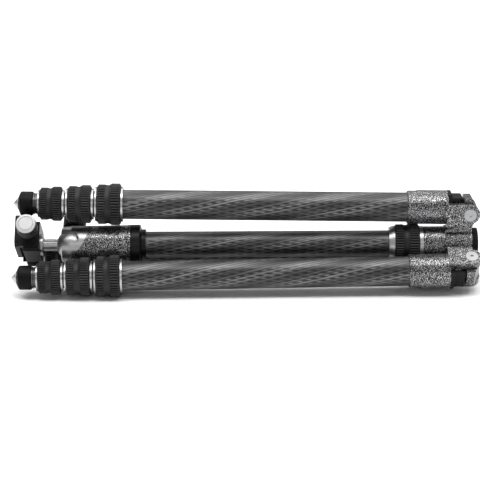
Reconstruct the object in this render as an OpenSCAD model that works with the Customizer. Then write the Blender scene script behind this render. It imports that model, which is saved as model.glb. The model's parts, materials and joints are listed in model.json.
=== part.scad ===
// Travel tripod with a ball head, folded: its legs lie back along the raised centre column.
// Millimetres. X runs along the column, with the feet and the head at -X. Z is up.
// The origin is below the middle of the folded tripod, on the surface that it lies on.

/* [Leg tubes] */
// Radius of the first and thickest leg tube
tube_r = 14; // [13:0.1:14.5]
// Step in radius from one leg tube to the next
tube_step = 1.75; // [1.65:0.05:1.9]
// Wall of the carbon fibre tubes
tube_wall = 1.3; // [1:0.05:1.35]
// Bare length of the first leg tube between its casting and its lock
tube_bare = 269.5; // [240:0.5:290]
// How much farther in each inner tube ends than the one around it
tube_setback = 6; // [3:0.5:12]

/* [Leg locks] */
// Length of the upper twist lock, rings included
lock_upper_len = 26.3; // [24:0.1:28]
// Length of the middle twist lock, rings included
lock_mid_len = 25.9; // [24:0.1:28]
// Length of the lower twist lock, rings included
lock_low_len = 24.9; // [23:0.1:28]
// Gap between a lock and the next one
lock_gap = 1.8; // [1:0.1:3]
// Height of a grip's thick end over its tube
grip_over = 5.9; // [5:0.1:6]
// How much lower the grip's thin end is
grip_drop = 1; // [0.6:0.1:1.5]
// How much lower the saddle between the ribbed ends is
saddle_drop = 1.5; // [1.1:0.1:2]
// Number of ribs round a grip
rib_count = 44; // [30:1:50]
// Height of the ribs
rib_depth = 0.7; // [0.4:0.1:1]
// Width of the bright ring at the thick end
ring_wide = 1.6; // [1:0.1:2]
// Width of the bright ring at the thin end
ring_thin = 1.1; // [0.8:0.1:1.5]
// Height of the bright rings over their tube
ring_over = 2.5; // [2.3:0.1:3]
// Wall of the threaded sleeve under a grip
sleeve_wall = 1.7; // [1.4:0.1:1.8]

/* [Feet] */
// Length of the bright ferrule behind the rubber foot
ferrule_len = 4.4; // [3:0.1:6]
// Radius of that ferrule
ferrule_r = 10.2; // [9.5:0.1:11]
// Length of the rubber foot without its cone
rubber_len = 13; // [10:0.5:16]
// Radius of the rubber foot
rubber_r = 11.5; // [11:0.1:12]
// Length of the cone that ends a foot
point_len = 6.2; // [4:0.1:8]
// Radius of the steel point where it leaves the rubber
spike_r = 4.8; // [3.5:0.1:5.5]

/* [Leg castings and hinges] */
// Distance of a hinge pin from the column's axis
pin_radial = 31.8; // [31.5:0.1:33]
// Distance of a leg's axis outside its hinge pin
leg_offset = 3.2; // [2.8:0.1:3.6]
// Angle at which the folded legs lean out towards their feet
splay = 0.9; // [0.8:0.05:1.2]
// Distance from the pin to the end of the casting on the tube
casting_len = 59.1; // [54:0.1:64]
// Radius of the casting round the tube
casting_r = 15.9; // [15.8:0.1:16.2]
// Height of the raised pad on the casting's outer side
pad_rise = 0.6; // [0.3:0.1:0.8]
// Distance from the pin to the casting's raised end
pad_start = 20.9; // [20.5:0.1:23]
// Length of the raised pad
pad_len = 28.8; // [20:0.1:32]
// Radius of the fork's hollow round the pin
fork_r = 19.1; // [18.5:0.1:20]
// Half the width of the fork's slot
fork_half = 9.45; // [9:0.05:9.8]
// Half the width over the two ears
ear_half = 16; // [15.5:0.1:16.5]
// Height of an ear outside the pin
ear_out = 10; // [9:0.1:11]
// Height of an ear inside the pin
ear_in = 8.5; // [8:0.1:9]
// Radius of a hinge pin's shank
pin_r = 4; // [3:0.1:4.5]
// Radius of a hinge pin's round head
pin_head_r = 5.9; // [5.5:0.1:6.2]
// Thickness of a hinge pin's head
pin_head_t = 1.8; // [1.4:0.1:2.2]

/* [Spider] */
// Radius of the spider's neck round the column
neck_r = 16.2; // [15.8:0.1:16.8]
// Distance from the pins to the end of the neck
neck_end = 43.3; // [40:0.1:46]
// Distance from the pins to the start of the arms' flare
flare_start = 22.6; // [21:0.1:24]
// How far the spider goes past the pins, away from the head
spider_back = 2.7; // [2:0.1:3.5]
// Height of an arm's outer end over its pin
arm_out = 14.7; // [13:0.1:15]

/* [Centre column] */
// Radius of the column tube
column_r = 12.5; // [12:0.1:12.6]
// Distance from the pins to the head's flange, with the column right up
column_reach = 307.7; // [290:0.1:330]
// Length of the column's twist lock, rings included
column_lock_len = 32.3; // [30:0.1:36]
// Radius of the column lock's grip
column_grip_r = 19.3; // [19:0.1:19.4]
// Width of the tapered ring at the lock's end
column_ring_wide = 5; // [4:0.1:6]
// Width of the ring beside the spider
column_ring_thin = 3; // [2:0.1:4]
// Radius of the cap on the column's lower end
end_cap_r = 14.7; // [14:0.1:15]
// Thickness of that cap
end_cap_t = 5.7; // [4:0.1:7]

/* [Ball head] */
// Angle of the head's front above the level side of the tripod
head_roll = 38; // [36:1:40]
// Thickness of the flange on the column's upper end
flange_t = 3.8; // [3:0.1:5]
// Radius of that flange
flange_r = 14.7; // [14:0.1:16]
// Length of the head's turning base
base_len = 10.5; // [8:0.1:12]
// Radius of the head's base
base_r = 19.2; // [18.5:0.1:19.4]
// Length of the head's housing from its base to its rim
housing_len = 65.9; // [62:0.1:68]
// Radius of the housing's barrel
housing_r = 18.8; // [18.2:0.1:19.2]
// Distance from the housing's rim back to the ball's centre
ball_back = 10; // [8:0.1:12]
// Radius of the ball
ball_r = 15.5; // [15:0.1:15.6]
// Tilt of the joint between the bright cup and the housing
cup_tilt = 39; // [35:1:42]
// Half the width of the drop notch
notch_half = 6.8; // [6.4:0.1:7.2]
// Depth of the drop notch from the rim
notch_depth = 17.2; // [15:0.1:18]
// Radius of the ball's stem
stem_r = 5.85; // [5:0.05:6]
// Distance from the ball's centre to the clamp's foot disc
stem_len = 27.9; // [26:0.1:30]
// Radius of the ball lock knob
lock_knob_r = 11; // [9:0.1:11.5]
// Length of the ball lock knob
lock_knob_len = 15; // [12:0.5:17]

/* [Clamp and quick plate] */
// Thickness of the clamp's body
clamp_t = 18.6; // [17:0.1:19]
// Half the width of the plate across the jaws
plate_half = 18.5; // [18:0.1:19]
// Half the length of the plate along the jaws
plate_half_len = 16.1; // [14:0.1:16.5]
// Distance of the plate's middle from the stem along the jaws
plate_offset = 9; // [7:0.1:9.2]
// Thickness of the plate's slab
plate_t = 4.3; // [3.5:0.1:4.4]
// Rounding of the plate's corners
plate_round = 5; // [4.5:0.1:7]
// Radius of the clamp knob
knob_r = 9.8; // [9:0.1:9.9]
// Distance of the clamp knob's face from the stem's axis
knob_face = 46; // [42:0.5:47]
// Length of the clamp knob's ribbed rim
knob_len = 16; // [12:0.5:17]
// Distance of the clamp knob's axis from the stem along the jaws
knob_offset = 4.3; // [3.5:0.1:4.6]
// Radius of the camera screw's thread
screw_r = 3.17; // [3:0.01:3.2]

/* [Hidden] */
// Clearance of a running fit, a gap between moving faces, and the overrun of cuts
fit = 0.08;
gap = 0.3;
over = 1;
// Smoothness of round parts and of the grips' profiles
$fn = 96;
saddle_steps = 6;
// Angles between the three legs
leg_step = 120;
leg_colour = "#3a3a3c";
rubber_colour = "#1c1c1d";
metal_colour = "#c8c8ca";
paint_colour = "#77787a";

// Names are in the order of a leg from its hinge to its foot
lock_len = [lock_upper_len, lock_mid_len, lock_low_len];
casting_seat = 4.8;
bore_floor = fork_r + casting_seat;
function leg_tube_r(k) = tube_r - k * tube_step;
function lock_at(k) = k == 0 ? casting_len + tube_bare : lock_at(k - 1) + lock_len[k - 1] + lock_gap;
foot_at = lock_at(2) + lock_len[2] + gap;
rubber_at = foot_at + ferrule_len;
point_at = rubber_at + rubber_len;
leg_end = point_at + point_len;
sleeve_seat_share = 0.45;
cap_back = spider_back + gap + end_cap_t;

// Where the tripod stands: its middle is over the origin and its lower locks touch Z = 0
leg_reach = leg_end * cos(splay) - leg_offset * sin(splay);
pivot_x = (leg_reach - cap_back) / 2;
thick_end_share = 0.38;
rest_at = casting_len + tube_bare + ring_wide + gap + thick_end_share * lock_upper_len;
rest_radial = pin_radial + leg_offset * cos(splay) + rest_at * sin(splay);
rest_r = tube_r + grip_over;
half = 0.5;
groove_start_share = 0.4;
axis_z = rest_radial * half + rest_r * sqrt(1 - pow(sin(splay) * half, 2));

// Grip profile: each zone's place as a share of the grip's length
shoulder_share = 0.055;
thick_share = 0.4;
thin_share = 0.66;
rim_share = 0.94;
shoulder_drop = 2.2;
end_round = 0.5;
rib_land_share = 0.62;
rib_slope_share = 0.1;
// How far the ribs are rooted in the grip's core
rib_root = 0.2;

// Spider, pins and selector
arm_half = fork_half - gap;
arm_boss_r = 8.2;
arm_top_back = 5;
arm_top_front = 2.3;
arm_waist = 8.4;
flare_height = 9.5;
flare_steps = 8;
pin_groove = 0.4;
socket_r = 1.7;
socket_depth = 1;
ear_slope = 3.4;
chamfer = 0.8;
selector_t = 3.4;
selector_lift = 11.6;
selector_tab = 17;
selector_tab_t = 3;
selector_start = 7;
selector_end = pad_start - gap;
neck_bore_r = column_r + 1.8;
bushing_len = 34;
plug_len = 12;

// Column and head, measured along the column from the hinge pins towards the head
collar_r = column_grip_r - 3.2;
lock_start = neck_end;
lock_end = neck_end + column_lock_len;
flange_at = column_reach;
base_at = flange_at + flange_t;
housing_at = base_at + base_len;
rim_at = housing_at + housing_len;
ball_at = rim_at - ball_back;
disc_at = ball_at + stem_len;
disc_t = 2.7;
disc_r = 10.4;
clamp_at = disc_at + disc_t;
clamp_end = clamp_at + clamp_t;
plate_at = clamp_end + gap;
rim_r = housing_r - 2.6;
cup_seat_r = ball_r + fit;
cup_back = 10.8;
cup_at = rim_at - cup_back;
head_tilt_turn = 32;
groove_share = 0.7;
cup_gap = 0.1;
lock_knob_turn = 112;
lock_spindle_r = 4;

// Clamp, jaw, plate and screw
body_half = 15.6;
body_back = 18.2;
body_low = -11;
body_high = 19;
corner_r = 3;
tongue_t = 3.4;
tongue_half = 13.5;
tongue_flare = 2.4;
jaw_t = 3.2;
jaw_low = -8;
jaw_high = 16.4;
knob_neck_r = 6.2;
spindle_r = 3;
slot_half = 3.5;
slot_len = 8;
screw_head_r = 6.5;
screw_head_t = 2;
screw_hub_r = 5.2;
pocket_r = 9;

// Column frame: Z runs from the hinge pins towards the head, X points at leg A
module column_frame() {
    translate([pivot_x, 0, axis_z]) rotate([0, -90, 0]) children();
}

// Head frame: as the column's, with X towards the clamp knob and Y along the jaws
module head_frame() {
    column_frame() rotate([0, 0, head_roll - 90]) children();
}

// Leg frame: from the hinge pin, Z runs towards the foot, X outwards and Y along the pin
module leg_frame(i) {
    translate([pivot_x, 0, axis_z]) rotate([i * leg_step, 0, 0])
        translate([0, 0, pin_radial]) rotate([0, splay - 90, 0]) children();
}

// The leg's own axis, which lies outside its pin
module leg_axis(i) {
    leg_frame(i) translate([leg_offset, 0, 0]) children();
}

// Ring or tube with its base at Z = 0
module ring(outer, inner, length) {
    rotate_extrude() translate([inner, 0]) square([outer - inner, length]);
}

// Outline of a ribbed ring: trapezoid ribs round a bore
module rib_outline(outer, inner, count) {
    pitch = 360 / count;
    land = pitch * rib_land_share / 2;
    slope = pitch * rib_slope_share;
    low = outer - rib_depth - rib_root;
    difference() {
        polygon([for (i = [0 : count - 1], p = [[-land - slope, low], [-land, outer], [land, outer],
            [land + slope, low]]) [p[1] * cos(i * pitch + p[0]), p[1] * sin(i * pitch + p[0])]]);
        circle(r = inner);
    }
}

// Twist grip: a ribbed thick end, a smooth saddle and a ribbed thin end
module grip(top_r, bore_r, length) {
    thin_r = top_r - grip_drop;
    core_r = top_r - rib_depth;
    hold_r = (thin_r - rib_depth + bore_r) / 2 - rib_root;
    saddle = [for (j = [0 : saddle_steps]) let (t = j / saddle_steps)
        [top_r - end_round - (saddle_drop - end_round) * sin(t * 180) - (grip_drop - end_round) * t,
        length * (thick_share + (thin_share - thick_share) * t)]];
    rotate_extrude() polygon(concat([[bore_r, 0], [top_r - shoulder_drop, 0],
        [top_r - end_round, length * shoulder_share * half], [core_r, length * shoulder_share],
        [core_r, length * thick_share]], saddle,
        [[thin_r - rib_depth, length * thin_share], [thin_r - rib_depth, length * rim_share],
        [thin_r - shoulder_drop, length], [bore_r, length]]));
    translate([0, 0, length * shoulder_share + rib_root])
        linear_extrude(length * (thick_share - shoulder_share) - 2 * rib_root)
            rib_outline(top_r, hold_r, rib_count);
    translate([0, 0, length * thin_share + rib_root])
        linear_extrude(length * (rim_share - thin_share) - 2 * rib_root)
            rib_outline(thin_r, hold_r, rib_count);
}

// Threaded sleeve of a leg lock: a wide ring, the sleeve under the grip and a thin ring
module lock_collar(k) {
    seat = lock_len[k] * sleeve_seat_share;
    r = leg_tube_r(k);
    ring(r + ring_over, r + fit, ring_wide);
    ring(r + sleeve_wall, r + fit, seat);
    translate([0, 0, seat]) ring(r + sleeve_wall, leg_tube_r(k + 1) + gap, lock_len[k] - seat);
    translate([0, 0, lock_len[k] - ring_thin]) ring(r + ring_over, leg_tube_r(k + 1) + gap, ring_thin);
}

// Carbon tube of a leg, from inside the one before it to inside its own lock
module leg_tube(i, k) {
    start = bore_floor + k * tube_setback;
    stop = k < 3 ? lock_at(k) + lock_len[k] * sleeve_seat_share - gap : foot_at;
    color(leg_colour) leg_axis(i) translate([0, 0, start + gap])
        ring(leg_tube_r(k), leg_tube_r(k) - tube_wall, stop - start - gap);
}

module leg_collar(i, k) {
    color(metal_colour) leg_axis(i) translate([0, 0, lock_at(k)]) lock_collar(k);
}

module leg_grip(i, k) {
    color(rubber_colour) leg_axis(i) translate([0, 0, lock_at(k) + ring_wide + gap])
        grip(leg_tube_r(k) + grip_over, leg_tube_r(k) + sleeve_wall + gap,
            lock_len[k] - ring_wide - ring_thin - 2 * gap);
}

// Upper casting: a socket for the tube, a raised pad outside and a fork of two ears
module leg_casting(i) {
    color(paint_colour) leg_frame(i) difference() {
        union() {
            translate([leg_offset, 0, pad_start]) cylinder(r = casting_r, h = casting_len - pad_start - chamfer);
            translate([leg_offset, 0, casting_len - chamfer])
                cylinder(r1 = casting_r, r2 = casting_r - chamfer, h = chamfer);
            intersection() {
                translate([leg_offset, 0, pad_start]) cylinder(r = casting_r + pad_rise, h = pad_len);
                translate([ear_out, -casting_r, 0]) cube([2 * casting_r, 2 * casting_r, casting_len]);
            }
            translate([0, ear_half, 0]) rotate([90, 0, 0]) linear_extrude(2 * ear_half) ear_outline();
        }
        rotate([90, 0, 0]) cylinder(r = fork_r, h = 2 * fork_half, center = true);
        translate([leg_offset, 0, bore_floor]) cylinder(r = tube_r + fit, h = casting_len);
        rotate([90, 0, 0]) cylinder(r = pin_r + fit, h = 2 * (ear_half + over), center = true);
        for (side = [0, 180]) rotate([90, 0, side]) translate([0, 0, ear_half - pin_head_t])
            cylinder(r = pin_head_r + pin_groove, h = pin_head_t + over);
    }
}

// Side view of an ear: round at the pin and sloped towards the socket's inner side
module ear_outline() {
    middle = (ear_out - ear_in) / 2;
    translate([middle, 0]) circle(r = (ear_out + ear_in) / 2);
    polygon([[-ear_in, 0], [ear_out, 0], [ear_out, pad_start + over], [-ear_in - ear_slope, pad_start + over]]);
}

// Angle stop: a plate in the fork's window with a tab that a finger lifts
module leg_selector(i) {
    sweep_r = norm([arm_out, arm_top_back]) + gap;
    color(rubber_colour) leg_frame(i) difference() {
        union() {
            translate([selector_lift, -fork_half + gap, selector_start])
                cube([selector_t, 2 * (fork_half - gap), selector_end - selector_start]);
            translate([selector_lift, -fork_half + gap, selector_tab])
                cube([selector_t + selector_tab_t, 2 * (fork_half - gap), selector_end - selector_tab]);
        }
        rotate([90, 0, 0]) cylinder(r = sweep_r, h = 2 * fork_half, center = true);
    }
}

module leg_foot_tip(i) {
    plug_r = leg_tube_r(3) - tube_wall - fit;
    color(metal_colour) leg_axis(i) rotate_extrude() polygon([[0, foot_at - ferrule_len],
        [plug_r, foot_at - ferrule_len], [plug_r, foot_at + fit], [ferrule_r, foot_at + fit],
        [ferrule_r, foot_at + ferrule_len * groove_start_share], [ferrule_r - end_round, foot_at + ferrule_len * half],
        [ferrule_r, foot_at + ferrule_len * (1 - groove_start_share)], [ferrule_r, rubber_at - fit], [spike_r, rubber_at - fit],
        [spike_r, leg_end - point_len * spike_r / rubber_r], [0, leg_end]]);
}

module leg_foot_rubber(i) {
    color(rubber_colour) leg_axis(i) rotate_extrude() polygon([[spike_r + fit, rubber_at],
        [rubber_r - 2 * end_round, rubber_at], [rubber_r - end_round, rubber_at + end_round],
        [rubber_r, rubber_at + 3 * end_round], [rubber_r, point_at - end_round],
        [rubber_r - end_round, point_at + end_round],
        [spike_r + fit, leg_end - point_len * spike_r / rubber_r - fit]]);
}

// Spider: a neck round the column and three arms that carry the hinge pins
module spider() {
    flare = [for (j = [0 : flare_steps]) let (t = 90 * j / flare_steps)
        [neck_r - over + over * sin(t) + flare_height * (1 - cos(t)),
        flare_start - (flare_start - arm_waist) * sin(t)]];
    color(paint_colour) difference() {
        union() {
            column_frame() translate([0, 0, -spider_back]) cylinder(r = neck_r, h = neck_end + spider_back);
            for (i = [0 : 2]) translate([pivot_x, 0, axis_z]) rotate([i * leg_step, 0, 0]) rotate([0, -90, 0])
                translate([0, arm_half, 0]) rotate([90, 0, 0]) linear_extrude(2 * arm_half) {
                polygon(concat([[column_r, -spider_back], [column_r, flare_start]], flare,
                    [[pin_radial, arm_waist - over], [pin_radial + arm_boss_r, arm_top_back],
                    [pin_radial + arm_out, arm_top_back], [pin_radial + arm_out, -arm_top_front],
                    [pin_radial + 2 * over, -arm_boss_r + fit], [pin_radial, -arm_boss_r + fit],
                    [neck_r + over, -spider_back]]));
                translate([pin_radial, 0]) circle(r = arm_boss_r);
            }
        }
        column_frame() translate([0, 0, -spider_back - over]) cylinder(r = neck_bore_r, h = neck_end * 2);
        for (i = [0 : 2]) pin_place(i) cylinder(r = pin_r + fit / 2, h = 2 * (arm_half + over), center = true);
    }
}

// Place of a hinge pin, with Z along it
module pin_place(i) {
    translate([pivot_x, 0, axis_z]) rotate([i * leg_step, 0, 0]) translate([0, 0, pin_radial])
        rotate([90, 0, 0]) children();
}

// Three hinge pins, each with a round head and a socket at both ends
module hinge_pins() {
    color(metal_colour) for (i = [0 : 2]) pin_place(i) difference() {
        union() {
            cylinder(r = pin_r, h = 2 * (ear_half - over), center = true);
            for (side = [-1, 1]) translate([0, 0, side * (ear_half - pin_head_t / 2 + fit)])
                cylinder(r = pin_head_r, h = pin_head_t, center = true);
        }
        for (side = [-1, 1]) translate([0, 0, side * (ear_half + fit)])
            cylinder(r = socket_r, h = 2 * socket_depth, center = true, $fn = 6);
    }
}

module column_bushing() {
    color(rubber_colour) column_frame() ring(neck_bore_r - fit, column_r + gap, bushing_len);
}

module column_lock_collar() {
    inner = column_r + gap;
    cone_at = lock_end - column_ring_wide;
    color(metal_colour) column_frame() rotate_extrude() polygon([[inner, bushing_len + gap],
        [neck_bore_r - fit, bushing_len + gap], [neck_bore_r - fit, lock_start + fit],
        [neck_r + gap, lock_start + fit], [neck_r + gap, lock_start + column_ring_thin],
        [collar_r, lock_start + column_ring_thin], [collar_r, cone_at],
        [column_grip_r - 2 * over, cone_at], [collar_r - over, lock_end], [inner, lock_end]]);
}

module column_lock_grip() {
    start = lock_start + column_ring_thin + gap;
    color(rubber_colour) column_frame() translate([0, 0, start])
        grip(column_grip_r, collar_r + gap, lock_end - column_ring_wide - gap - start);
}

module column_tube() {
    color(leg_colour) column_frame() translate([0, 0, -spider_back])
        ring(column_r, column_r - tube_wall, flange_at + spider_back - fit);
}

// Cap on the column's lower end, with grip ribs round its rim
module column_end_cap() {
    plug = column_r - tube_wall - fit;
    color(rubber_colour) column_frame() {
        translate([0, 0, -cap_back]) linear_extrude(end_cap_t - over) rib_outline(end_cap_r, 0, rib_count);
        translate([0, 0, -cap_back]) cylinder(r = end_cap_r - rib_depth, h = end_cap_t);
        translate([0, 0, -spider_back - gap]) cylinder(r = plug, h = plug_len);
    }
}

module column_top_flange() {
    plug = column_r - tube_wall - fit;
    color(rubber_colour) column_frame() {
        translate([0, 0, flange_at]) cylinder(r = flange_r, h = flange_t);
        translate([0, 0, flange_at - plug_len]) cylinder(r = plug, h = plug_len);
        translate([0, 0, base_at]) cylinder(r = lock_spindle_r, h = base_len - 2 * over);
    }
}

module head_base() {
    color(rubber_colour) column_frame() difference() {
        rotate_extrude() polygon([[0, base_at + gap], [flange_r + over, base_at + gap],
            [base_r - end_round, base_at + gap + over], [base_r, base_at + 2 * over],
            [base_r, housing_at - over], [base_r - end_round, housing_at - fit], [0, housing_at - fit]]);
        translate([0, 0, base_at]) cylinder(r = lock_spindle_r + fit, h = base_len - over);
    }
}

// Housing of the ball, hollow for it, with the drop notch and the lock knob's bore
module housing() {
    difference() {
        rotate_extrude() polygon([[0, housing_at], [housing_r + end_round, housing_at],
            [housing_r + end_round, housing_at + over], [housing_r, housing_at + 3 * over],
            [housing_r - end_round, ball_at - ball_back], [housing_r - end_round, ball_at],
            [rim_r + over, rim_at - over], [rim_r, rim_at], [0, rim_at]]);
        translate([0, 0, ball_at]) sphere(r = cup_seat_r);
        translate([0, 0, ball_at + ball_back * half])
            cylinder(r1 = stem_r * 2, r2 = ball_r - end_round, h = ball_back * half + over);
        translate([0, 0, rim_at - notch_depth + notch_half]) rotate([0, 90, 0])
            cylinder(r = notch_half, h = 2 * housing_r);
        translate([0, -notch_half, rim_at - notch_depth + notch_half])
            cube([2 * housing_r, 2 * notch_half, notch_depth]);
        rotate([0, 0, lock_knob_turn]) translate([0, 0, ball_at]) rotate([0, 90, 0])
            cylinder(r = lock_spindle_r + fit, h = 2 * housing_r);
    }
}

// Half-space past the slanted joint between the housing and its bright cup
module cup_side(shift) {
    translate([0, 0, cup_at + shift]) rotate([0, cup_tilt, head_tilt_turn])
        translate([-4 * housing_r, -4 * housing_r, 0]) cube(8 * housing_r);
}

module head_body() {
    color(paint_colour) head_frame() difference() {
        housing();
        cup_side(-cup_gap);
    }
}

module ball_cup() {
    color(metal_colour) head_frame() intersection() {
        housing();
        cup_side(0);
    }
}

module ball_stem() {
    color(metal_colour) head_frame() {
        translate([0, 0, ball_at]) sphere(r = ball_r);
        translate([0, 0, ball_at]) cylinder(r = stem_r, h = stem_len);
        translate([0, 0, disc_at]) cylinder(r = disc_r, h = disc_t - fit);
    }
}

module ball_lock_knob() {
    start = housing_r + gap;
    color(rubber_colour) head_frame() rotate([0, 0, lock_knob_turn]) translate([0, 0, ball_at])
        rotate([0, 90, 0]) {
        translate([0, 0, start + over]) linear_extrude(lock_knob_len - 2 * over)
            rib_outline(lock_knob_r, 0, rib_count / 2);
        translate([0, 0, start]) cylinder(r = lock_knob_r - rib_depth, h = lock_knob_len);
        translate([0, 0, ball_r + gap]) cylinder(r = lock_spindle_r, h = start - ball_r);
    }
}

// Rounded slab in the head frame: two corners and the roundness of its sides
module slab(low, high, round_r, thickness) {
    linear_extrude(thickness) {
        translate([low[0] + round_r, low[1]]) square([high[0] - low[0] - 2 * round_r, high[1] - low[1]]);
        translate([low[0], low[1] + round_r]) square([high[0] - low[0], high[1] - low[1] - 2 * round_r]);
        for (x = [low[0] + round_r, high[0] - round_r], y = [low[1] + round_r, high[1] - round_r])
            translate([x, y]) circle(r = round_r);
    }
}

// Dovetail outline across the jaws, swept along them
module dovetail(clear, length) {
    translate([0, length, plate_at - tongue_t - clear]) rotate([90, 0, 0]) linear_extrude(2 * length)
        polygon([[-tongue_half - tongue_flare - clear, 0], [tongue_half + tongue_flare + clear, 0],
            [tongue_half + clear, tongue_t + 2 * clear], [-tongue_half - clear, tongue_t + 2 * clear]]);
}

module clamp_body() {
    color(rubber_colour) head_frame() difference() {
        translate([0, 0, clamp_at]) slab([-body_back, body_low], [body_half, body_high], corner_r, clamp_t);
        dovetail(gap, 3 * plate_half);
        translate([tongue_half - over, -3 * plate_half, clamp_end - tongue_t - gap])
            cube([plate_half, 6 * plate_half, tongue_t + over]);
        translate([0, knob_offset, clamp_at + clamp_t * half]) rotate([0, 90, 0])
            cylinder(r = spindle_r + fit, h = plate_half * 2);
        translate([0, plate_offset, clamp_end - 2 * tongue_t - over]) cylinder(r = pocket_r, h = 3 * tongue_t);
    }
}

// Moving jaw: a cheek beside the body with a lip that hooks over the plate's tongue
module clamp_jaw() {
    start = body_half + gap;
    color(rubber_colour) head_frame() difference() {
        union() {
            translate([start, jaw_low, clamp_at + over]) cube([jaw_t, jaw_high - jaw_low, clamp_t - over]);
            translate([tongue_half, jaw_low, clamp_end - tongue_t])
                cube([start - tongue_half + over, jaw_high - jaw_low, tongue_t]);
        }
        dovetail(gap, 3 * plate_half);
        translate([0, knob_offset, clamp_at + clamp_t * half]) rotate([0, 90, 0])
            cylinder(r = spindle_r + gap, h = plate_half * 2);
    }
}

// Clamp knob: a spindle, a plain neck, a ribbed rim and a round bright face
module clamp_knob() {
    neck = body_half + gap + jaw_t + 2 * over;
    rim = knob_face - knob_len;
    color(metal_colour) head_frame() translate([0, knob_offset, clamp_at + clamp_t * half])
        rotate([0, 90, 0]) difference() {
        union() {
            translate([0, 0, pocket_r + over]) cylinder(r = spindle_r, h = neck - pocket_r);
            translate([0, 0, neck]) cylinder(r = knob_neck_r, h = rim - neck + over);
            translate([0, 0, rim]) linear_extrude(knob_len - 2 * over) rib_outline(knob_r, 0, rib_count / 2);
            translate([0, 0, rim]) cylinder(r = knob_r - rib_depth, h = knob_len - over);
            translate([0, 0, knob_face - over]) cylinder(r1 = knob_r - rib_depth, r2 = knob_r - over - rib_depth,
                h = over);
        }
        translate([0, 0, knob_face - end_round]) ring(knob_r * groove_share + end_round,
            knob_r * groove_share, over);
    }
}

module quick_plate() {
    low = plate_offset - plate_half_len;
    high = plate_offset + plate_half_len;
    color(rubber_colour) head_frame() difference() {
        union() {
            translate([0, 0, plate_at]) slab([-plate_half, low], [plate_half, high], plate_round, plate_t);
            intersection() {
                dovetail(0, 3 * plate_half);
                translate([-plate_half, low + corner_r, plate_at - 2 * tongue_t])
                    cube([2 * plate_half, 2 * (plate_half_len - corner_r), 3 * tongue_t]);
            }
        }
        translate([-slot_half, plate_offset - slot_len, plate_at - 2 * tongue_t])
            cube([2 * slot_half, 2 * slot_len, 5 * tongue_t]);
        translate([0, plate_offset, plate_at - tongue_t - over])
            cylinder(r = screw_head_r + gap, h = tongue_t + 2 * over);
    }
}

// Camera screw, dropped back in the plate's slot, with a slotted head
module camera_screw() {
    head_at = plate_at - tongue_t + gap;
    color(metal_colour) head_frame() translate([0, plate_offset, 0]) difference() {
        union() {
            translate([0, 0, head_at]) cylinder(r = screw_head_r, h = screw_head_t);
            translate([0, 0, head_at]) cylinder(r = screw_r, h = plate_t + tongue_t - gap);
        }
        translate([-screw_head_r, -end_round, head_at - over]) cube([2 * screw_head_r, 2 * end_round, 2 * over]);
    }
}

spider();
hinge_pins();
column_bushing();
column_lock_collar();
column_lock_grip();
column_tube();
column_end_cap();
column_top_flange();
head_base();
head_body();
ball_cup();
ball_lock_knob();
ball_stem();
clamp_body();
clamp_jaw();
clamp_knob();
quick_plate();
camera_screw();
leg_casting(0);  // leg_a_casting
leg_tube(0, 0);  // leg_a_tube_1
leg_collar(0, 0);  // leg_a_upper_collar
leg_grip(0, 0);  // leg_a_upper_grip
leg_tube(0, 1);  // leg_a_tube_2
leg_collar(0, 1);  // leg_a_middle_collar
leg_grip(0, 1);  // leg_a_middle_grip
leg_tube(0, 2);  // leg_a_tube_3
leg_collar(0, 2);  // leg_a_lower_collar
leg_grip(0, 2);  // leg_a_lower_grip
leg_tube(0, 3);  // leg_a_tube_4
leg_foot_rubber(0);  // leg_a_foot_rubber
leg_foot_tip(0);  // leg_a_foot_tip
leg_selector(0);  // leg_a_selector
leg_casting(1);  // leg_b_casting
leg_tube(1, 0);  // leg_b_tube_1
leg_collar(1, 0);  // leg_b_upper_collar
leg_grip(1, 0);  // leg_b_upper_grip
leg_tube(1, 1);  // leg_b_tube_2
leg_collar(1, 1);  // leg_b_middle_collar
leg_grip(1, 1);  // leg_b_middle_grip
leg_tube(1, 2);  // leg_b_tube_3
leg_collar(1, 2);  // leg_b_lower_collar
leg_grip(1, 2);  // leg_b_lower_grip
leg_tube(1, 3);  // leg_b_tube_4
leg_foot_rubber(1);  // leg_b_foot_rubber
leg_foot_tip(1);  // leg_b_foot_tip
leg_selector(1);  // leg_b_selector
leg_casting(2);  // leg_c_casting
leg_tube(2, 0);  // leg_c_tube_1
leg_collar(2, 0);  // leg_c_upper_collar
leg_grip(2, 0);  // leg_c_upper_grip
leg_tube(2, 1);  // leg_c_tube_2
leg_collar(2, 1);  // leg_c_middle_collar
leg_grip(2, 1);  // leg_c_middle_grip
leg_tube(2, 2);  // leg_c_tube_3
leg_collar(2, 2);  // leg_c_lower_collar
leg_grip(2, 2);  // leg_c_lower_grip
leg_tube(2, 3);  // leg_c_tube_4
leg_foot_rubber(2);  // leg_c_foot_rubber
leg_foot_tip(2);  // leg_c_foot_tip
leg_selector(2);  // leg_c_selector
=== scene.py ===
"""Finishes, turned grips and photo stage of a folded travel tripod. Lengths are in metres."""

import json
import math

import bmesh
import bpy
from mathutils import Matrix, Vector


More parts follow.
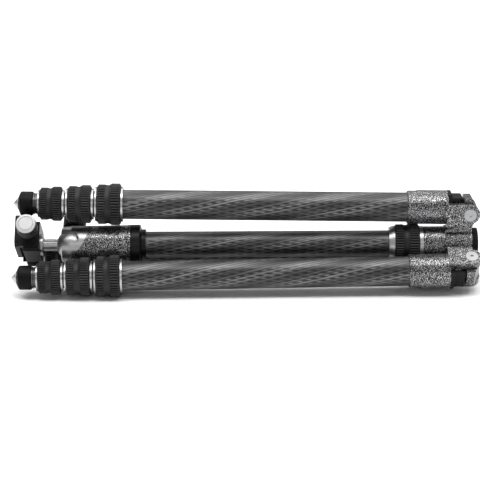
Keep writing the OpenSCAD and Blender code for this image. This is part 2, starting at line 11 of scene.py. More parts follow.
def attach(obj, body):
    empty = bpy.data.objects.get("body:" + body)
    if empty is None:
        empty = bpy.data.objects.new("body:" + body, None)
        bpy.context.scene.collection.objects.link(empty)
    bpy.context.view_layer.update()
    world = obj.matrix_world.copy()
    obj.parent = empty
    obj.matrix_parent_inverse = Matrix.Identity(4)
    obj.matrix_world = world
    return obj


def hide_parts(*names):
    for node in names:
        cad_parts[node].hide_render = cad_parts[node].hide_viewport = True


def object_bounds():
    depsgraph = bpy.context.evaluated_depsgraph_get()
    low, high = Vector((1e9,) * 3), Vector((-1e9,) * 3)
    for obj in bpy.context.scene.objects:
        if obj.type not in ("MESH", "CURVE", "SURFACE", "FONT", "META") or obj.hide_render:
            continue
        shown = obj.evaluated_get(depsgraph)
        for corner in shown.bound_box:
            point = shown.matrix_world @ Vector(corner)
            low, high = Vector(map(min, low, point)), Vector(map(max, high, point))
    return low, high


bl_info = {
    "name": "Folded travel tripod",
    "version": (1, 0, 0),
    "blender": (4, 5, 0),
    "location": "View3D > Sidebar > Tripod",
    "description": "Carbon, cast paint, rubber and bright metal for a folded tripod, with its stage",
    "category": "Object",
}

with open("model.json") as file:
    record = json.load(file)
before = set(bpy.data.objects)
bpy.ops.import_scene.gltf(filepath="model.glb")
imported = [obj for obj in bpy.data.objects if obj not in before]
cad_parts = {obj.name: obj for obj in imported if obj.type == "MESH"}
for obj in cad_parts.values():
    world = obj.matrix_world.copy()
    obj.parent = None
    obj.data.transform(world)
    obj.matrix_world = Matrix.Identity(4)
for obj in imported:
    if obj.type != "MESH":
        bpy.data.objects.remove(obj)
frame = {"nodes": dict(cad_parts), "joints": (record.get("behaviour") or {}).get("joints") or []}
cad_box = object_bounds()

MM = 0.001
FULL_TURN = 2 * math.pi
LEGS = ("a", "b", "c")
TUBES = ("tube_1", "tube_2", "tube_3", "tube_4")
LOCKS = ("upper", "middle", "lower")

# Pitch of a wave that runs straight along a tube, far longer than any tube
STRAIGHT = 1000.0

# Share of a rib's height that it takes, so that its crest stays just inside the CAD shape
RIB_FILL = 0.98

# Sides of a rib's cross section
RIB_SIDES = 12

# Facets round a turned piece
FACETS = 96

# Angle from which an edge of a turned piece looks sharp
SHARP = math.radians(32)


# Frames of the axes

def joint(name):
    """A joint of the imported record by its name."""
    return next(j for j in frame["joints"] if j["name"] == name)


def axis_frame(point, along, outward):
    """Matrix whose Z runs along an axis and whose X points outward."""
    z = Vector(along).normalized()
    x = (Vector(outward) - z * Vector(outward).dot(z)).normalized()
    y = z.cross(x)
    return Matrix.Translation(point) @ Matrix((x, y, z)).transposed().to_4x4()


def leg_axis(leg):
    """Axis of a leg's tubes: from a point by its hinge towards the foot, with X away from the column."""
    turn = joint(f"leg_{leg}_upper_lock_turn")
    place = Vector(turn["pos_m"])
    centre = Vector(joint("column_lock_turn")["pos_m"])
    return axis_frame(place, turn["axis"], place - centre)


def column_axis():
    """Axis of the centre column: from between the hinges towards the head, with X up."""
    return axis_frame(joint("column_lock_turn")["pos_m"], (-1, 0, 0), (0, 0, 1))


def knob_axis():
    """Axis of the clamp knob: towards its face, with X along the tripod."""
    turn = joint("clamp_knob_turn")
    return axis_frame(turn["pos_m"], turn["axis"], (1, 0, 0))


# Materials

class Graph:
    """Short way to build a material's nodes."""

    def __init__(self, name):
        self.material = bpy.data.materials.new(name)
        self.material.use_nodes = True
        self.tree = self.material.node_tree
        self.shader = self.tree.nodes["Principled BSDF"]
        self.object = self.add("ShaderNodeTexCoord").outputs["Object"]

    def add(self, kind, inputs=None, **settings):
        """A node with its settings and inputs."""
        node = self.tree.nodes.new(kind)
        for key, value in settings.items():
            setattr(node, key, value)
        for key, value in (inputs or {}).items():
            self.put(node.inputs[key], value)
        return node

    def put(self, socket, value):
        """Links a socket to another one, or sets its constant."""
        if isinstance(value, bpy.types.NodeSocket):
            self.tree.links.new(value, socket)
        else:
            socket.default_value = value

    def math(self, operation, a, b=0.0):
        """Result of one math node."""
        return self.add("ShaderNodeMath", {0: a, 1: b}, operation=operation).outputs[0]

    def mix(self, *parts):
        """Sum of some values, each times its own share."""
        total = 0.0
        for value, share in parts:
            total = self.math("ADD", total, self.math("MULTIPLY", value, share))
        return total

    def mapped(self, matrix):
        """Object coordinates seen from an axis, so that Z runs along it."""
        inverse = matrix.inverted()
        return self.add("ShaderNodeMapping", {
            "Vector": self.object,
            "Location": inverse.to_translation(),
            "Rotation": inverse.to_euler("XYZ"),
        }, vector_type="POINT").outputs[0]

    def around(self, vector):
        """Length along the axis in metres and share of a turn round it."""
        parts = self.add("ShaderNodeSeparateXYZ", {0: vector})
        angle = self.math("ARCTAN2", parts.outputs[1], parts.outputs[0])
        return parts.outputs[2], self.math("DIVIDE", angle, FULL_TURN)

    def vector(self, x, y=0.0, z=0.0):
        """Three values as one vector."""
        return self.add("ShaderNodeCombineXYZ", {0: x, 1: y, 2: z}).outputs[0]

    def wave(self, along, turn, pitch, count):
        """A helical wave from 0 to 1 that closes round the tube."""
        phase = self.math("ADD", self.math("DIVIDE", along, pitch), self.math("MULTIPLY", turn, count))
        sine = self.math("SINE", self.math("MULTIPLY", phase, FULL_TURN))
        return self.math("ADD", self.math("MULTIPLY", sine, 0.5), 0.5)

    def noise(self, vector, scale, detail, rough):
        """Noise from 0 to 1, with its grains in a metre."""
        return self.add("ShaderNodeTexNoise", {
            "Vector": vector, "Scale": scale, "Detail": detail, "Roughness": rough}).outputs["Fac"]

    def ramp(self, factor, *stops):
        """Greys between stops, each a place from 0 to 1 and a brightness. A new ramp has two points."""
        node = self.add("ShaderNodeValToRGB", {"Fac": factor})
        points = node.color_ramp.elements
        cool = 1.01
        for i, (place, grey) in enumerate(stops):
            point = points[i] if i < 2 else points.new(place)
            point.position = place
            point.color = (grey, grey, grey * cool, 1)
        return node.outputs["Color"]

    def span(self, factor, low, high):
        """A value from 0 to 1 spread between two others."""
        return self.add("ShaderNodeMapRange", {"Value": factor, "To Min": low, "To Max": high}).outputs[0]

    def bump(self, height, strength, distance):
        """Relief of the surface, with its depth in metres."""
        node = self.add("ShaderNodeBump", {"Height": height, "Strength": strength, "Distance": distance})
        self.put(self.shader.inputs["Normal"], node.outputs[0])

    def set(self, **values):
        """Sets or links the shader's own sockets."""
        names = {"color": "Base Color", "metal": "Metallic", "rough": "Roughness", "coat": "Coat Weight",
                 "coat_rough": "Coat Roughness", "specular": "Specular IOR Level"}
        for key, value in values.items():
            self.put(self.shader.inputs[names[key]], value)


def carbon(name, matrix):
    """Wound carbon fibre: long streaks, slanting bands, rows of dark diamonds and a clear coat."""
    s = settings()
    g = Graph(name)
    along, turn = g.around(g.mapped(matrix))
    rows = s.weave_rows
    twill_rows = rows * 5 // 3
    twill_pitch = s.weave_pitch * 0.6
    band_rows = 5
    band_pitch = s.weave_pitch * 4.4
    diamond_strips = 3
    diamond_power = 1.6
    streak_stretch = 0.4
    streak_round = 0.9
    streak_lean = 2.3

    right = g.wave(along, turn, s.weave_pitch, rows)
    left = g.wave(along, turn, s.weave_pitch, -rows)
    strips = g.wave(along, turn, STRAIGHT, diamond_strips)
    crossings = g.math("POWER", g.math("MULTIPLY", right, left), diamond_power)
    diamonds = g.math("MULTIPLY", crossings, strips)
    twill = g.wave(along, turn, twill_pitch, twill_rows)
    bands = g.wave(along, turn, band_pitch, band_rows)
    streaks = g.vector(g.math("MULTIPLY", along, streak_stretch),
                       g.mix((turn, streak_round), (along, streak_lean)))
    fibre = g.noise(streaks, scale=90.0, detail=4.0, rough=0.7)
    tone = g.mix((bands, 0.2), (fibre, 0.62), (twill, 0.16), (diamonds, -0.75))

    g.set(color=g.ramp(tone, (0.1, 0.004), (0.46, 0.04), (0.8, s.weave_light)), metal=0.3,
          rough=g.span(fibre, 0.36, 0.52), coat=0.2, coat_rough=0.3, specular=0.35)
    g.bump(tone, strength=0.12, distance=0.2 * MM)
    return g.material


def cast_paint():
    """Black and grey hammered paint over a casting."""
    g = Graph("cast_paint")
    scale = settings().speckle_scale
    cell_scale = scale * 1.15
    grain = g.noise(g.object, scale, detail=2.5, rough=0.6)
    cells = g.add("ShaderNodeTexVoronoi", {"Vector": g.object, "Scale": cell_scale}).outputs["Distance"]
    speckle = g.mix((grain, 0.8), (cells, 0.22))
    g.set(color=g.ramp(speckle, (0.45, 0.004), (0.545, 0.09), (0.63, 0.62)), metal=0.8,
          rough=g.span(grain, 0.26, 0.4), coat=0.1, coat_rough=0.3, specular=0.3)
    g.bump(speckle, strength=0.5, distance=0.4 * MM)
    return g.material


def rubber(name, grey, specular=0.14):
    """Moulded rubber with a dusty bloom and fine grain."""
    g = Graph(name)
    grain = g.noise(g.object, scale=2600.0, detail=2.0, rough=0.6)
    bloom = g.noise(g.object, scale=70.0, detail=3.0, rough=0.6)
    g.set(color=g.ramp(bloom, (0.3, grey * 0.75), (0.75, grey * 1.6)), rough=g.span(bloom, 0.38, 0.55),
          specular=specular)
    g.bump(grain, strength=0.12, distance=0.1 * MM)
    return g.material


def bright_metal(name, matrix, grey, rough):
    """Turned aluminium or steel, with fine tool lines round its axis."""
    g = Graph(name)
    along, _ = g.around(g.mapped(matrix))
    tool = g.noise(g.vector(along), scale=9000.0, detail=2.0, rough=0.5)
    cloud = g.noise(g.object, scale=130.0, detail=3.0, rough=0.6)
    g.set(color=g.ramp(cloud, (0.25, grey * 0.86), (0.75, grey)), metal=1.0,
          rough=g.span(tool, rough * 0.75, rough * 1.3))
    g.bump(tool, strength=0.06, distance=0.06 * MM)
    return g.material


def black_metal(name, rough):
    """Black anodised metal with a slight sheen and paler worn patches."""
    g = Graph(name)
    grey = settings().black_tone
    cloud = g.noise(g.object, scale=160.0, detail=4.0, rough=0.6)
    grain = g.noise(g.object, scale=4000.0, detail=2.0, rough=0.5)
    g.set(color=g.ramp(cloud, (0.3, grey * 0.7), (0.8, grey * 1.7)),
          rough=g.span(cloud, rough * 0.85, rough * 1.25), specular=0.12)
    g.bump(grain, strength=0.08, distance=0.08 * MM)
    return g.material


def wear(nodes, material):
    """Gives CAD nodes their finish."""
    for node in nodes:
        mesh = frame["nodes"][node].data
        mesh.materials.clear()
        mesh.materials.append(material)


# Settings

class TripodSettings(bpy.types.PropertyGroup):
    """Sizes and tones that a user would change."""

    weave_pitch: bpy.props.FloatProperty(
        name="Weave pitch", description="Length of one diamond along a tube", default=0.017, unit="LENGTH")
    weave_rows: bpy.props.IntProperty(
        name="Weave rows", description="Rows of diamonds round a tube", default=22)
    weave_light: bpy.props.FloatProperty(
        name="Carbon tone", description="Brightness of the fibres that catch the light", default=0.24)
    speckle_scale: bpy.props.FloatProperty(
        name="Speckle scale", description="Grains of the cast paint in a metre", default=1200.0)
    rubber_tone: bpy.props.FloatProperty(
        name="Rubber tone", description="Brightness of the rubber", default=0.005)
    metal_tone: bpy.props.FloatProperty(
        name="Metal tone", description="Brightness of the bright metal", default=0.5)
    black_tone: bpy.props.FloatProperty(
        name="Black tone", description="Brightness of the black metal", default=0.007)
    rib_count: bpy.props.IntProperty(
        name="Ribs", description="Ribs round a twist grip", default=46)
    rib_height: bpy.props.FloatProperty(
        name="Rib height", description="Height of the ribs of a twist grip", default=0.0009, unit="LENGTH")
    rib_share: bpy.props.FloatProperty(
        name="Rib share", description="Share of the pitch that a rib takes", default=0.62)
    grip_step: bpy.props.FloatProperty(
        name="Grip step", description="How much thinner a grip's far end is", default=0.001, unit="LENGTH")
    knob_ribs: bpy.props.IntProperty(
        name="Knob ribs", description="Ribs round the clamp knob", default=30)
    camera_distance: bpy.props.FloatProperty(
        name="Camera distance", description="From the column to the camera", default=1.58, unit="LENGTH")
    camera_rise: bpy.props.FloatProperty(
        name="Camera elevation", description="Angle above the horizon", default=math.radians(17),
        subtype="ANGLE")
    camera_lens: bpy.props.FloatProperty(
        name="Lens", description="Focal length in millimetres", default=123.7)


def settings():
    """The scene's tripod settings."""
    return bpy.context.scene.tripod_settings


# Finishes of the CAD nodes

class TRIPOD_OT_carbon(bpy.types.Operator):
    """Gives every tube its wound carbon fibre"""

    bl_idname = "tripod.carbon"
    bl_label = "Carbon tubes"

    def execute(self, context):
        for leg in LEGS:
            wear([f"leg_{leg}_{tube}" for tube in TUBES], carbon(f"carbon_leg_{leg}", leg_axis(leg)))
        wear(["column_tube"], carbon("carbon_column", column_axis()))
        return {"FINISHED"}


class TRIPOD_OT_castings(bpy.types.Operator):
    """Paints the spider, the leg castings and the head's housing"""

    bl_idname = "tripod.castings"
    bl_label = "Cast paint"

    def execute(self, context):
        wear(["spider", "head_body"] + [f"leg_{leg}_casting" for leg in LEGS], cast_paint())
        return {"FINISHED"}


class TRIPOD_OT_rubber(bpy.types.Operator):
    """Gives the ball lock knob its rubber, and the caps, bushing and angle stops their plastic"""

    bl_idname = "tripod.rubber"
    bl_label = "Rubber"

    def execute(self, context):
        tone = settings().rubber_tone
        plastic_nodes = ["column_end_cap", "column_bushing"] + [f"leg_{leg}_selector" for leg in LEGS]
        wear(["ball_lock_knob"], rubber("grip_rubber", tone))
        wear(plastic_nodes, rubber("black_plastic", tone * 1.2))
        return {"FINISHED"}


class TRIPOD_OT_metal(bpy.types.Operator):
    """Turns the rings, pins, screw, ball and cup bright"""

    bl_idname = "tripod.metal"
    bl_label = "Bright metal"

    def execute(self, context):
        tone = settings().metal_tone
        ring_rough = 0.32
        ball_rough = 0.36
        column = column_axis()
        wear(["column_lock_collar", "camera_screw"], bright_metal("turned_column", column, tone, ring_rough))
        wear(["ball_stem", "ball_cup"], bright_metal("polished_ball", column, tone * 0.9, ball_rough))
        wear(["hinge_pins"], bright_metal("pin_heads", column, tone * 0.75, ball_rough))
        for leg in LEGS:
            rings = bright_metal(f"turned_leg_{leg}", leg_axis(leg), tone, ring_rough)
            wear([f"leg_{leg}_{lock}_collar" for lock in LOCKS], rings)
        return {"FINISHED"}


class TRIPOD_OT_black(bpy.types.Operator):
    """Anodises the clamp, the plate, the head's base and the column's flange black"""

    bl_idname = "tripod.black"
    bl_label = "Black metal"

    def execute(self, context):
        wear(["column_top_flange", "head_base", "clamp_body", "clamp_jaw", "quick_plate"],
             black_metal("black_anodised", rough=0.32))
        return {"FINISHED"}


# Turned shapes

def measure(node, matrix):
    """Ends along an axis and the least and greatest radius of a CAD node round it."""
    inverse = matrix.inverted()
    points = [inverse @ v.co for v in frame["nodes"][node].data.vertices]
    radii = [math.hypot(p.x, p.y) for p in points]
    heights = [p.z for p in points]
    return min(heights), max(heights), min(radii), max(radii)


def lathe(outline):
    """Closed solid turned from a loop of (radius, height) points; a radius of 0 closes to a pole."""
    shape = bmesh.new()
    turns = [FULL_TURN * i / FACETS for i in range(FACETS)]
    rings = []
    for radius, height in outline:
        if radius <= 0:
            rings.append([shape.verts.new((0, 0, height))] * FACETS)
        else:
            points = [(radius * math.cos(t), radius * math.sin(t), height) for t in turns]
            rings.append([shape.verts.new(point) for point in points])
    for low, high in zip(rings, rings[1:] + rings[:1]):
        for i in range(FACETS):
            j = (i + 1) % FACETS
            corners = []
            for vertex in (low[i], low[j], high[j], high[i]):
                if vertex not in corners:
                    corners.append(vertex)
            if len(corners) > 2 and not shape.faces.get(corners):
                shape.faces.new(corners)
    bmesh.ops.recalc_face_normals(shape, faces=shape.faces)
    return shape


def arc(start, end, bulge, steps):
    """Points of a shallow arc between two profile points; a negative bulge dips."""
    points = []
    for i in range(steps + 1):
        t = i / steps
        points.append((start[0] + (end[0] - start[0]) * t + bulge * math.sin(math.pi * t),
                       start[1] + (end[1] - start[1]) * t))
    return points


def finished(name, shape, matrix, materials):
    """Object with its place in its mesh, smooth but for its sharp edges."""
    shape.transform(matrix)
    for face in shape.faces:
        face.smooth = True
    for edge in shape.edges:
        if len(edge.link_faces) == 2 and edge.calc_face_angle(0) > SHARP:
            edge.smooth = False
    mesh = bpy.data.meshes.new(name)
    shape.to_mesh(mesh)
    shape.free()
    for material in materials:
        mesh.materials.append(material)
    piece = bpy.data.objects.new(name, mesh)
    bpy.context.scene.collection.objects.link(piece)
    return piece


# Rings of ribs

def rib_tree():
    """Geometry nodes that stand rounded ribs in a ring."""
    tree = bpy.data.node_groups.new("rib_ring", "GeometryNodeTree")
    face = tree.interface
    face.new_socket("Geometry", in_out="OUTPUT", socket_type="NodeSocketGeometry")
    for name, kind in (("Geometry", "Geometry"), ("Count", "Int"), ("Radius", "Float"), ("Length", "Float"),
                       ("Width", "Float"), ("Height", "Float"), ("Material", "Material")):
        face.new_socket(name, in_out="INPUT", socket_type=f"NodeSocket{kind}")
    entry = tree.nodes.new("NodeGroupInput").outputs
    exit_node = tree.nodes.new("NodeGroupOutput")

    def add(kind, links=None, **settings):
        node = tree.nodes.new(kind)
        for key, value in settings.items():
            setattr(node, key, value)
        for key, value in (links or {}).items():
            if isinstance(value, bpy.types.NodeSocket):
                tree.links.new(value, node.inputs[key])
            else:
                node.inputs[key].default_value = value
        return node

    circle = add("GeometryNodeMeshCircle", {"Vertices": entry["Count"], "Radius": entry["Radius"]})
    half_width = add("ShaderNodeMath", {0: entry["Width"], 1: 0.5}, operation="MULTIPLY")
    bar = add("GeometryNodeMeshCylinder", {
        "Vertices": RIB_SIDES, "Radius": half_width.outputs[0], "Depth": entry["Length"]})
    flat = add("ShaderNodeMath", {0: entry["Height"], 1: half_width.outputs[0]}, operation="DIVIDE")
    size = add("ShaderNodeCombineXYZ", {0: flat.outputs[0], 1: 1.0, 2: 1.0})
    index = add("GeometryNodeInputIndex")
    step = add("ShaderNodeMath", {0: FULL_TURN, 1: entry["Count"]}, operation="DIVIDE")
    angle = add("ShaderNodeMath", {0: index.outputs[0], 1: step.outputs[0]}, operation="MULTIPLY")
    turn = add("ShaderNodeCombineXYZ", {2: angle.outputs[0]})
    placed = add("GeometryNodeInstanceOnPoints", {
        "Points": circle.outputs["Mesh"], "Instance": bar.outputs["Mesh"], "Rotation": turn.outputs[0],
        "Scale": size.outputs[0]})
    real = add("GeometryNodeRealizeInstances", {"Geometry": placed.outputs[0]})
    dressed = add("GeometryNodeSetMaterial", {"Geometry": real.outputs[0], "Material": entry["Material"]})
    tree.links.new(dressed.outputs[0], exit_node.inputs[0])
    return tree


def rib_ring(material, count, radius, length, width, height):
    """Plain mesh of a ring of ribs, worked out by the geometry nodes."""
    tree = bpy.data.node_groups.get("rib_ring") or rib_tree()
    holder = bpy.data.objects.new("ribs", bpy.data.meshes.new("ribs"))
    bpy.context.scene.collection.objects.link(holder)
    modifier = holder.modifiers.new("ribs", "NODES")
    modifier.node_group = tree
    values = {"Count": count, "Radius": radius, "Length": length, "Width": width, "Height": height,
              "Material": material}
    for item in tree.interface.items_tree:
        if item.in_out == "INPUT" and item.name in values:
            modifier[item.identifier] = values[item.name]
    seen = bpy.context.evaluated_depsgraph_get()
    mesh = bpy.data.meshes.new_from_object(holder.evaluated_get(seen))
    holder.modifiers.remove(modifier)
    bpy.data.objects.remove(holder)
    return mesh


def add_ribs(shape, ribs, start, end, slot=0):
    """Adds a ring of ribs to a shape, halfway between two heights, in a slot of its materials."""
    ribs.transform(Matrix.Translation((0, 0, (start + end) / 2)))
    ribs.polygons.foreach_set("material_index", [slot] * len(ribs.polygons))
    shape.from_mesh(ribs)
    bpy.data.meshes.remove(ribs)


# Twist grips

def turned_grip(name, node, body, matrix, rubbers):
    """Twist grip with a rounded shoulder, two ribbed ends and a smooth saddle, in place of its CAD node."""
    s = settings()
    low, high, bore, top = measure(node, matrix)
    length = high - low
    rise = s.rib_height
    thin = top - s.grip_step
    # The ribs take the lighter rubber, a painted highlight on their crests; the grooves between them take
    # the near-black one, painted shade.
    _, ribbed, _ = rubbers
    painted_shade_slot = 2
    painted_highlight_slot = 1

    # Shares of the grip's length where each stretch starts and ends
    shoulder = (0.01, 0.07)
    wide_valley = (0.07, 0.39)
    wide_ribs = (0.06, 0.395)
    saddle = (0.41, 0.645)
    thin_valley = (0.67, 0.93)
    thin_ribs = (0.665, 0.935)
    nose = (0.94, 0.995)
    wide_lip = 0.405
    thin_lip = 0.655

    # Depths below the outside, and how far each arc bows
    mouth_depth = 2.4 * MM
    shoulder_depth = 1.9 * MM
    shoulder_bow = 0.45 * MM
    wide_lip_depth = 0.25 * MM
    thin_lip_depth = 0.15 * MM
    saddle_depths = (0.3 * MM, 0.1 * MM)
    saddle_bow = -0.95 * MM
    nose_depth = 2.1 * MM
    nose_bow = 0.25 * MM

    def at(share):
        return low + length * share

    outline = [(bore, low), (top - mouth_depth, low)]
    outline += arc((top - shoulder_depth, at(shoulder[0])), (top - rise, at(shoulder[1])),
                   shoulder_bow, steps=5)
    outline += [(top - rise, at(wide_valley[1])), (top - wide_lip_depth, at(wide_lip))]
    outline += arc((top - saddle_depths[0], at(saddle[0])), (thin - saddle_depths[1], at(saddle[1])),
                   saddle_bow, steps=8)
    outline += [(thin - thin_lip_depth, at(thin_lip)), (thin - rise, at(thin_valley[0])),
                (thin - rise, at(thin_valley[1]))]
    outline += arc((thin - rise, at(nose[0])), (thin - nose_depth, at(nose[1])), nose_bow, steps=4)
    outline += [(bore, high)]
    shape = lathe(outline)
    # Faces in the grooves between the ribs take the near-black rubber with little sheen: painted shade.
    for face in shape.faces:
        share = (face.calc_center_median().z - low) / length
        if any(start < share < end for start, end in (wide_valley, thin_valley)):
            face.material_index = painted_shade_slot
    for radius, (start, end) in ((top, wide_ribs), (thin, thin_ribs)):
        width = FULL_TURN * radius / s.rib_count * s.rib_share
        ribs = rib_ring(ribbed, s.rib_count, radius - rise, length * (end - start), width, rise * RIB_FILL)
        add_ribs(shape, ribs, at(start), at(end), painted_highlight_slot)
    grip = finished(name, shape, matrix, rubbers)
    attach(grip, body)
    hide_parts(node)


class TRIPOD_OT_grips(bpy.types.Operator):
    """Turns the ribbed rubber grips of the leg locks and the column lock"""

    bl_idname = "tripod.grips"
    bl_label = "Twist grips"

    def execute(self, context):
        tone = settings().rubber_tone
        # One rubber in three tones: the saddle has the grip's own tone, the ribs are lighter as a painted
        # highlight, and the grooves are near black with little sheen as painted shade.
        rubbers = (rubber("saddle_rubber", tone * 2, 0.25), rubber("rib_rubber_painted_highlight", tone * 5, 0.2),
                   rubber("valley_rubber_painted_shade", tone * 0.2, 0.02))
        for leg in LEGS:
            for lock in LOCKS:
                turned_grip(f"twist_grip_{leg}_{lock}", f"leg_{leg}_{lock}_grip", f"leg_{leg}_{lock}_lock",
                            leg_axis(leg), rubbers)
        turned_grip("column_twist_grip", "column_lock_grip", "column_lock", column_axis(), rubbers)
        return {"FINISHED"}


# Feet

# Radii of the tip's shank and point, and how far the point reaches back from its end
SHANK_RADIUS = 4.7 * MM
POINT_RADIUS = 5.5 * MM
POINT_BACK = 5.1 * MM


def foot_outline(start, end, wide):
    """Profile of the rubber foot, from its flat back to the mouth that the point comes out of."""
    gap = 0.1 * MM
    back_chamfer = 1.1 * MM
    back_lip = 0.4 * MM
    wall_start = start + 1.3 * MM
    wall_end = end - 8.3 * MM
    bead_depth = 0.25 * MM
    bead_end = end - 7.6 * MM
    cone_depth = 0.9 * MM
    cone_start = end - 7.0 * MM
    mouth = end - 4.9 * MM
    return [(SHANK_RADIUS + gap, start), (wide - back_chamfer, start), (wide - back_lip, start + 0.3 * MM),
            (wide, wall_start), (wide, wall_end), (wide - bead_depth, bead_end),
            (wide - cone_depth, cone_start), (POINT_RADIUS + 0.4 * MM, mouth),
            (POINT_RADIUS + gap, mouth - 0.05 * MM), (SHANK_RADIUS + gap, end - POINT_BACK)]


def point_outline(low, start, end, ring):
    """Profile of the steel tip: plug in the tube, grooved ferrule, shank in the rubber and bright point."""
    gap = 0.1 * MM
    plug = 7.2 * MM
    chamfer = 0.3 * MM
    seat = start - 4.4 * MM
    groove_depth = 0.7 * MM
    groove_start = seat + 1.4 * MM
    groove_end = seat + 2.8 * MM
    blunt = 0.5 * MM
    return [(0, low), (plug, low), (plug, seat), (ring - chamfer, seat), (ring, seat + chamfer),
            (ring, groove_start), (ring - groove_depth, groove_start + chamfer),
            (ring - groove_depth, groove_end - chamfer), (ring, groove_end),
            (ring, start - 0.4 * MM), (ring - chamfer, start - gap), (SHANK_RADIUS, start - gap),
            (SHANK_RADIUS, end - POINT_BACK), (POINT_RADIUS, end - 4.85 * MM),
            (POINT_RADIUS, end - 4.5 * MM), (blunt, end - 0.25 * MM), (0, end - 0.02 * MM)]


class TRIPOD_OT_feet(bpy.types.Operator):
    """Turns the rubber feet and their pointed bright tips"""

    bl_idname = "tripod.feet"
    bl_label = "Feet"

    def execute(self, context):
        s = settings()
        foot = rubber("turned_foot_rubber", s.rubber_tone * 0.7, 0.09)
        for leg in LEGS:
            axis = leg_axis(leg)
            start, _, _, wide = measure(f"leg_{leg}_foot_rubber", axis)
            low, end, _, ring = measure(f"leg_{leg}_foot_tip", axis)
            body = finished(f"foot_{leg}", lathe(foot_outline(start, end, wide)), axis, [foot])
            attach(body, f"leg_{leg}_section_4")
            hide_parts(f"leg_{leg}_foot_rubber")

            steel = bright_metal(f"turned_tip_{leg}", axis, s.metal_tone, 0.28)
            dull = bright_metal(f"ferrule_{leg}", axis, s.metal_tone * 0.2, 0.34)
            shape = lathe(point_outline(low, start, end, ring))
            for face in shape.faces:
                face.material_index = int(face.calc_center_median().z < start)
            tip = finished(f"point_{leg}", shape, axis, [steel, dull])
            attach(tip, f"leg_{leg}_section_4")
            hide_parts(f"leg_{leg}_foot_tip")
        return {"FINISHED"}


# Clamp knob

# Thickness of the knob's bright face
FACE_THICKNESS = 1.5 * MM


def knob_rim_outline(low, high, top, rim, rise):
    """Profile of the knob's spindle, hub and rim, up to the seat of its face."""
    spindle = 3 * MM
    hub = 6.2 * MM
    hub_start = rim - 7 * MM
    bevel = 0.4 * MM
    corner = 1.2 * MM
    rib_seat = rim + 0.7 * MM
    rib_end = high - 2.2 * MM
    seat = high - FACE_THICKNESS
    collar = top - 1.0 * MM
    return [(0, low), (spindle, low), (spindle, hub_start), (hub, hub_start + bevel), (hub, rim),
            (top - corner, rim), (top - rise, rib_seat), (top - rise, rib_end),
            (collar, seat - 0.1 * MM), (collar, seat), (0, seat)]


def knob_face_outline(high, top):
    """Profile of the knob's face: a rounded edge, a fine groove and a flat middle."""
    edge = top - 0.35 * MM
    groove = edge * 0.72
    half_groove = 0.25 * MM
    groove_depth = 0.55 * MM
    seat = high - FACE_THICKNESS
    return [(0, seat), (edge - 0.3 * MM, seat), (edge, seat + 0.3 * MM), (edge, high - 0.6 * MM),
            (edge - 0.6 * MM, high - 0.05 * MM), (groove + 2 * half_groove, high),
            (groove + half_groove, high - groove_depth), (groove - half_groove, high - groove_depth),
            (groove - 2 * half_groove, high), (0, high)]


class TRIPOD_OT_clamp_knob(bpy.types.Operator):
    """Makes the clamp knob: a black ribbed rim round a bright grooved face"""

    bl_idname = "tripod.clamp_knob"
    bl_label = "Clamp knob"

    def execute(self, context):
        s = settings()
        matrix = knob_axis()
        low, high, _, top = measure("clamp_knob", matrix)
        rise = 0.6 * MM
        rim = high - 16 * MM
        rib_length = 12.4 * MM
        rib_width = 1.5 * MM
        rib_start = rim + 0.8 * MM
        rib_end = high - 2.4 * MM

        black = black_metal("knob_rim", rough=0.35)
        shape = lathe(knob_rim_outline(low, high, top, rim, rise))
        ribs = rib_ring(black, s.knob_ribs, top - rise, rib_length, rib_width, rise * RIB_FILL)
        add_ribs(shape, ribs, rib_start, rib_end)
        body = finished("clamp_knob_rim", shape, matrix, [black])
        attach(body, "knob")
        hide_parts("clamp_knob")

        bright = bright_metal("knob_bright", matrix, s.metal_tone * 0.88, 0.4)
        cap = finished("clamp_knob_face", lathe(knob_face_outline(high, top)), matrix, [bright])
        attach(cap, "knob")
        return {"FINISHED"}


# Stage

def add_floor(span):
    """Pale paper floor, far wider than the tripod."""
    spans = 14
    reach = span * spans
    mesh = bpy.data.meshes.new("floor")
    mesh.from_pydata([(-reach, -reach, 0), (reach, -reach, 0), (reach, reach, 0), (-reach, reach, 0)], [],
                     [(0, 1, 2, 3)])
    floor = bpy.data.objects.new("floor", mesh)
    bpy.context.scene.collection.objects.link(floor)
    g = Graph("floor_paper")
    paper = g.noise(g.object, scale=3.0, detail=2.0, rough=0.55)
    g.set(color=g.ramp(paper, (0.3, 0.93), (0.7, 0.95)), rough=0.9)
    mesh.materials.append(g.material)


def add_world(strength):
    """Even white light from all round."""
    world = bpy.data.worlds.new("pale_room")
    world.use_nodes = True
    background = world.node_tree.nodes["Background"].inputs
    background["Color"].default_value = (1, 1, 1, 1)
    background["Strength"].default_value = strength
    bpy.context.scene.world = world


def area_light(name, place, target, size, power):
    """Soft rectangular light, its size in metres and its power in watts."""
    data = bpy.data.lights.new(name, "AREA")
    data.shape = "RECTANGLE"
    data.size, data.size_y = size
    data.energy = power
    lamp = bpy.data.objects.new(name, data)
    lamp.location = place
    lamp.rotation_euler = (Vector(target) - Vector(place)).to_track_quat("-Z", "Y").to_euler()
    bpy.context.scene.collection.objects.link(lamp)


def add_camera(column_height):
    """Camera at the photo's angle, aimed close to the middle of the column."""
    s = settings()
    sensor = 36.0
    nearest = 0.05
    aim_x = -5.5 * MM
    aim_rise = 4.1 * MM
    roll = math.radians(-0.31)
    camera = bpy.data.cameras.new("camera")
    camera.lens = s.camera_lens
    camera.sensor_width = sensor
    camera.clip_start = nearest
    eye = bpy.data.objects.new("camera", camera)
    aim = Vector((aim_x, 0, column_height + aim_rise))
    back = Vector((0, -math.cos(s.camera_rise), math.sin(s.camera_rise)))
    eye.location = aim + back * s.camera_distance
    look = (aim - eye.location).to_track_quat("-Z", "Y").to_matrix().to_4x4()
    eye.rotation_euler = (look @ Matrix.Rotation(roll, 4, "Z")).to_euler()
    bpy.context.scene.collection.objects.link(eye)
    bpy.context.scene.camera = eye


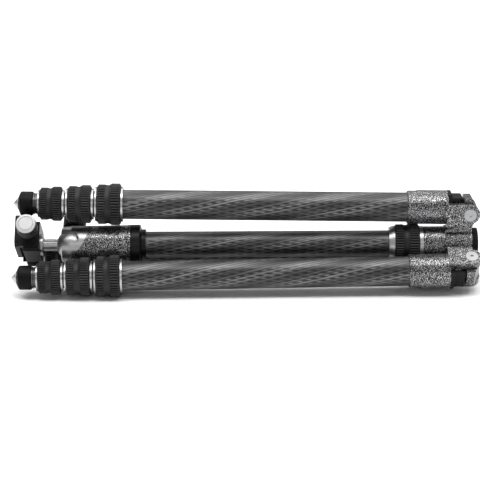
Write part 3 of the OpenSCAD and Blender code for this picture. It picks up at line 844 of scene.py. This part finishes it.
class TRIPOD_OT_stage(bpy.types.Operator):
    """Makes the pale floor, the soft lights and the camera"""

    bl_idname = "tripod.stage"
    bl_label = "Stage"

    def execute(self, context):
        low, high = cad_box
        middle = (0, 0, 0.04)
        add_floor((high - low).length)
        add_world(strength=0.28)
        area_light("soft_ceiling", place=(0, 1.4, 3.2), target=(0, 1.4, 0), size=(7.0, 6.0), power=230)
        area_light("soft_box_top", place=(-0.05, -0.3, 1.1), target=middle, size=(1.6, 0.3), power=9)
        area_light("soft_box_front", place=(-0.2, -1.5, 0.75), target=middle, size=(1.4, 0.2), power=2.5)
        add_camera(joint("column_lock_turn")["pos_m"][2])
        context.scene.view_settings.view_transform = "Standard"
        return {"FINISHED"}


# Add-on

OPERATORS = (TRIPOD_OT_stage, TRIPOD_OT_carbon, TRIPOD_OT_castings, TRIPOD_OT_rubber, TRIPOD_OT_metal,
             TRIPOD_OT_black, TRIPOD_OT_grips, TRIPOD_OT_feet, TRIPOD_OT_clamp_knob)


class TRIPOD_PT_panel(bpy.types.Panel):
    """Lists the tripod's operators and settings"""

    bl_label = "Tripod"
    bl_idname = "TRIPOD_PT_panel"
    bl_space_type = "VIEW_3D"
    bl_region_type = "UI"
    bl_category = "Tripod"

    def draw(self, context):
        for operator in OPERATORS:
            self.layout.operator(operator.bl_idname)
        for name in TripodSettings.__annotations__:
            self.layout.prop(context.scene.tripod_settings, name)


CLASSES = (TripodSettings,) + OPERATORS + (TRIPOD_PT_panel,)


def register():
    """Registers the classes and hangs the settings on the scene."""
    for cls in CLASSES:
        bpy.utils.register_class(cls)
    bpy.types.Scene.tripod_settings = bpy.props.PointerProperty(type=TripodSettings)


def unregister():
    """Takes the settings and the classes away again."""
    del bpy.types.Scene.tripod_settings
    for cls in reversed(CLASSES):
        bpy.utils.unregister_class(cls)


def main():
    """Makes the tripod's finishes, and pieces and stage."""
    register()
    for operator in OPERATORS:
        group, name = operator.bl_idname.split(".")
        getattr(getattr(bpy.ops, group), name)()


if __name__ == "__main__":
    main()
